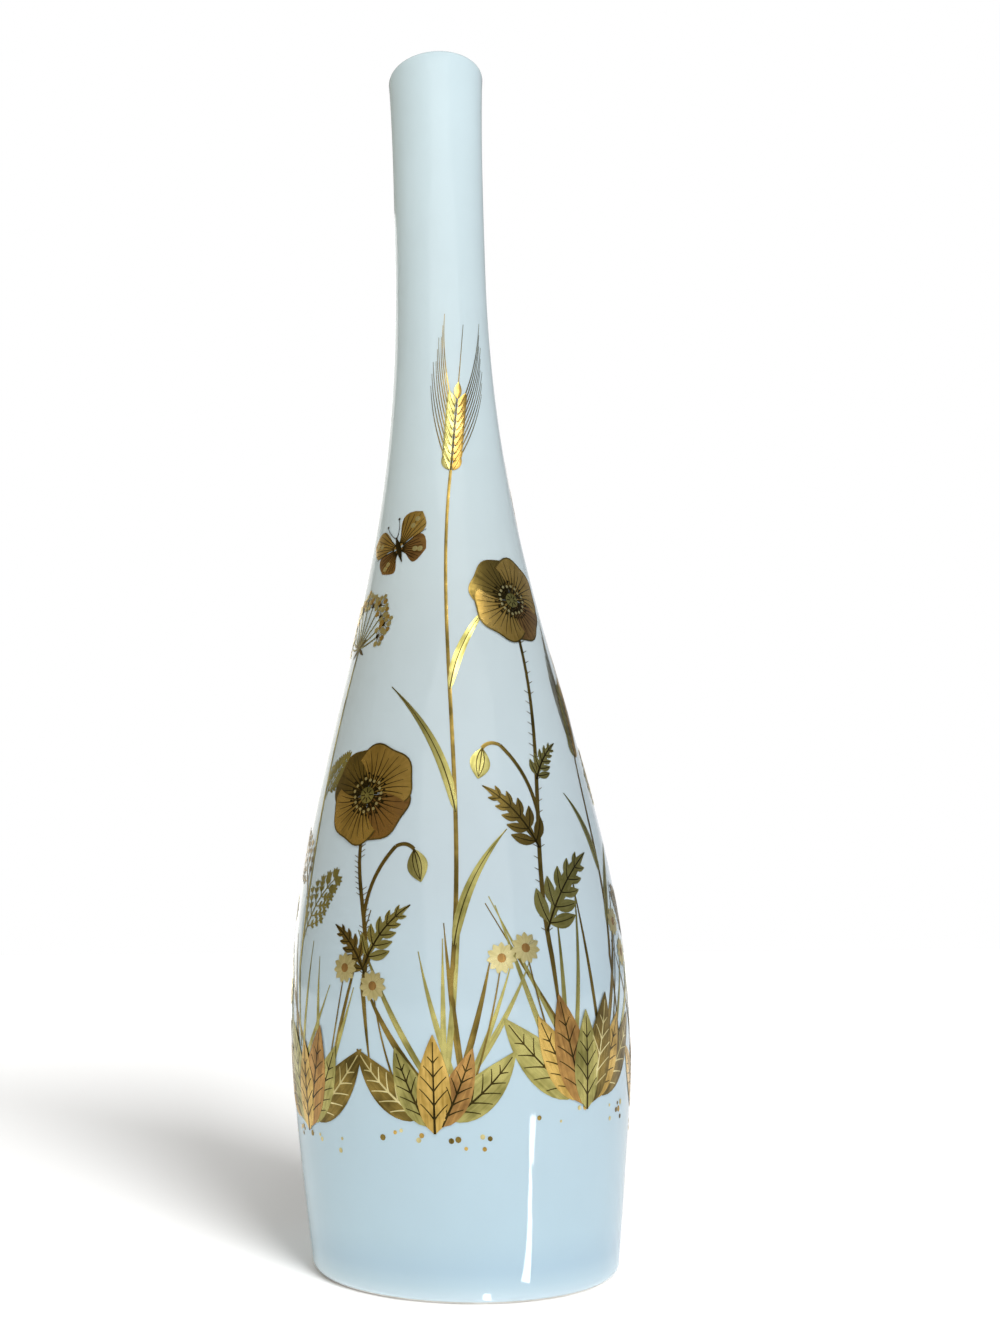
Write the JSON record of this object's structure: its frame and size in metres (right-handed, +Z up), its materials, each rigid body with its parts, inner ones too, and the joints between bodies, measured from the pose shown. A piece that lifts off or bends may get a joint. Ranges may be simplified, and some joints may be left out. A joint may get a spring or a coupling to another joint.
{
  "type": "bottle vase",
  "caption": "Tall slim porcelain bottle vase with a low swelling belly, a long narrow neck and a plain rounded lip, glazed pale blue-white and gilt with wildflowers.",
  "frame": {"origin": "centre of the foot's resting plane", "axes": "+Z up along the axis of the vase, -Y the front of the painted decoration"},
  "size_m": [0.0811, 0.081, 0.31],
  "materials": {
    "bisque_porcelain": "bare fired porcelain",
    "outer_glaze": "glossy pale blue-white glaze",
    "inner_glaze": "glossy pale blue-white glaze",
    "base_glaze": "glossy pale blue-white glaze",
    "yellow_gilt": "burnished yellow gold",
    "pale_gilt": "pale champagne gold",
    "green_gilt": "greenish gold",
    "bronze_gilt": "dark bronze gold",
    "copper_gilt": "coppery gold"
  },
  "bodies": {
    "root": {"porcelain_body": "bisque_porcelain", "outer_glaze": "outer_glaze", "inner_glaze": "inner_glaze", "base_glaze": "base_glaze", "gilt_poppy_tall": "yellow_gilt", "gilt_poppy_low": "yellow_gilt", "gilt_poppy_back": "yellow_gilt", "gilt_umbel_tall": "pale_gilt", "gilt_umbel_low": "pale_gilt", "gilt_umbel_back": "pale_gilt", "gilt_barley_tall": "green_gilt", "gilt_barley_right": "green_gilt", "gilt_barley_back": "green_gilt", "gilt_leaves_front": "bronze_gilt", "gilt_leaves_right": "bronze_gilt", "gilt_leaves_far_right": "bronze_gilt", "gilt_leaves_back_right": "bronze_gilt", "gilt_leaves_back_left": "bronze_gilt", "gilt_leaves_far_left": "bronze_gilt", "gilt_leaves_left": "bronze_gilt", "gilt_butterfly_front": "copper_gilt", "gilt_butterfly_back": "copper_gilt"}
  },
  "joints": []
}
